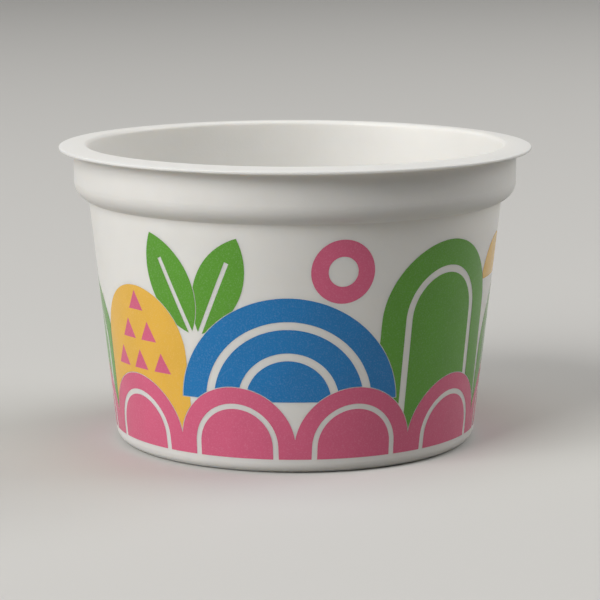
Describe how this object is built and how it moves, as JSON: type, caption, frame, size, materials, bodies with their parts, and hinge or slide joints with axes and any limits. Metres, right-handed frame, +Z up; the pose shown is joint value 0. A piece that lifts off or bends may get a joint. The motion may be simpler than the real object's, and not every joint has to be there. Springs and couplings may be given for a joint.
{
  "type": "ice cream tub",
  "caption": "Open round plastic ice cream tub with a crowned rim, a stepped collar, a tapered printed wall and a raised base panel.",
  "frame": {"origin": "centre of the tub's foot, on the surface that it stands on", "axes": "+Z up along the tub's axis, through the middle of the mouth; -Y is the side that faces the camera in the picture, and +X is to its right"},
  "size_m": [0.095, 0.095, 0.06],
  "materials": {
    "tub_plastic": "satin white polypropylene",
    "ink_green": "satin printed ink",
    "ink_pink": "satin printed ink",
    "ink_blue": "satin printed ink",
    "ink_yellow": "satin printed ink"
  },
  "bodies": {
    "root": {"tub": "tub_plastic", "print_green": "ink_green", "print_pink": "ink_pink", "print_blue": "ink_blue", "print_yellow": "ink_yellow"}
  },
  "joints": []
}
